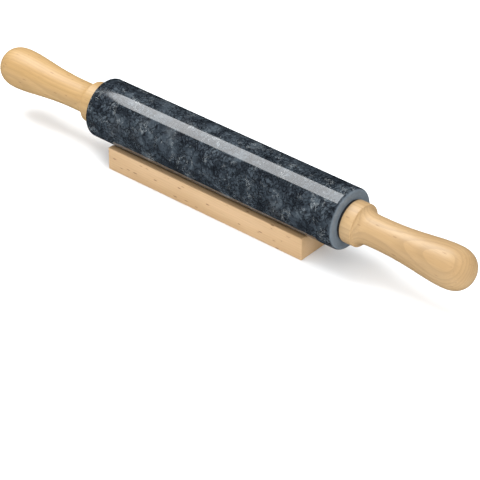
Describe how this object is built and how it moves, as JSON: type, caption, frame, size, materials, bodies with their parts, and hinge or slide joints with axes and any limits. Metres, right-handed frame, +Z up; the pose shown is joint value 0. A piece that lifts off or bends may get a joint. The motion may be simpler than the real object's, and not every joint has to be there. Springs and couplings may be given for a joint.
{
  "type": "marble rolling pin",
  "caption": "Polished dark stone roller that turns on a steel rod between turned wooden handles, lying in a low troughed wooden cradle.",
  "frame": {"origin": "on the table, under the middle of the roller", "axes": "+X along the pin towards its right handle, +Y across the pin, +Z up"},
  "size_m": [0.4762, 0.05, 0.066],
  "materials": {
    "marble": "polished",
    "handle_beech": "satin",
    "cradle_beech": "satin",
    "black_nylon": "matte",
    "steel": "brushed",
    "brass": "machined"
  },
  "bodies": {
    "stand": {"cradle": "cradle_beech"},
    "core": {"axle_rod": "steel", "left_handle": "handle_beech", "right_handle": "handle_beech", "left_thread_insert": "brass", "right_thread_insert": "brass"},
    "roller": {"marble_roller": "marble", "left_bush": "black_nylon", "right_bush": "black_nylon"}
  },
  "joints": [
    {"name": "lift_out", "type": "slide", "parent": "stand", "child": "core", "axis": [0, 0, 1], "range_m": [0, 0.08]},
    {"name": "roller_spin", "type": "hinge", "parent": "core", "child": "roller", "pos_m": [0, 0, 0.041], "axis": [1, 0, 0], "continuous": true}
  ]
}
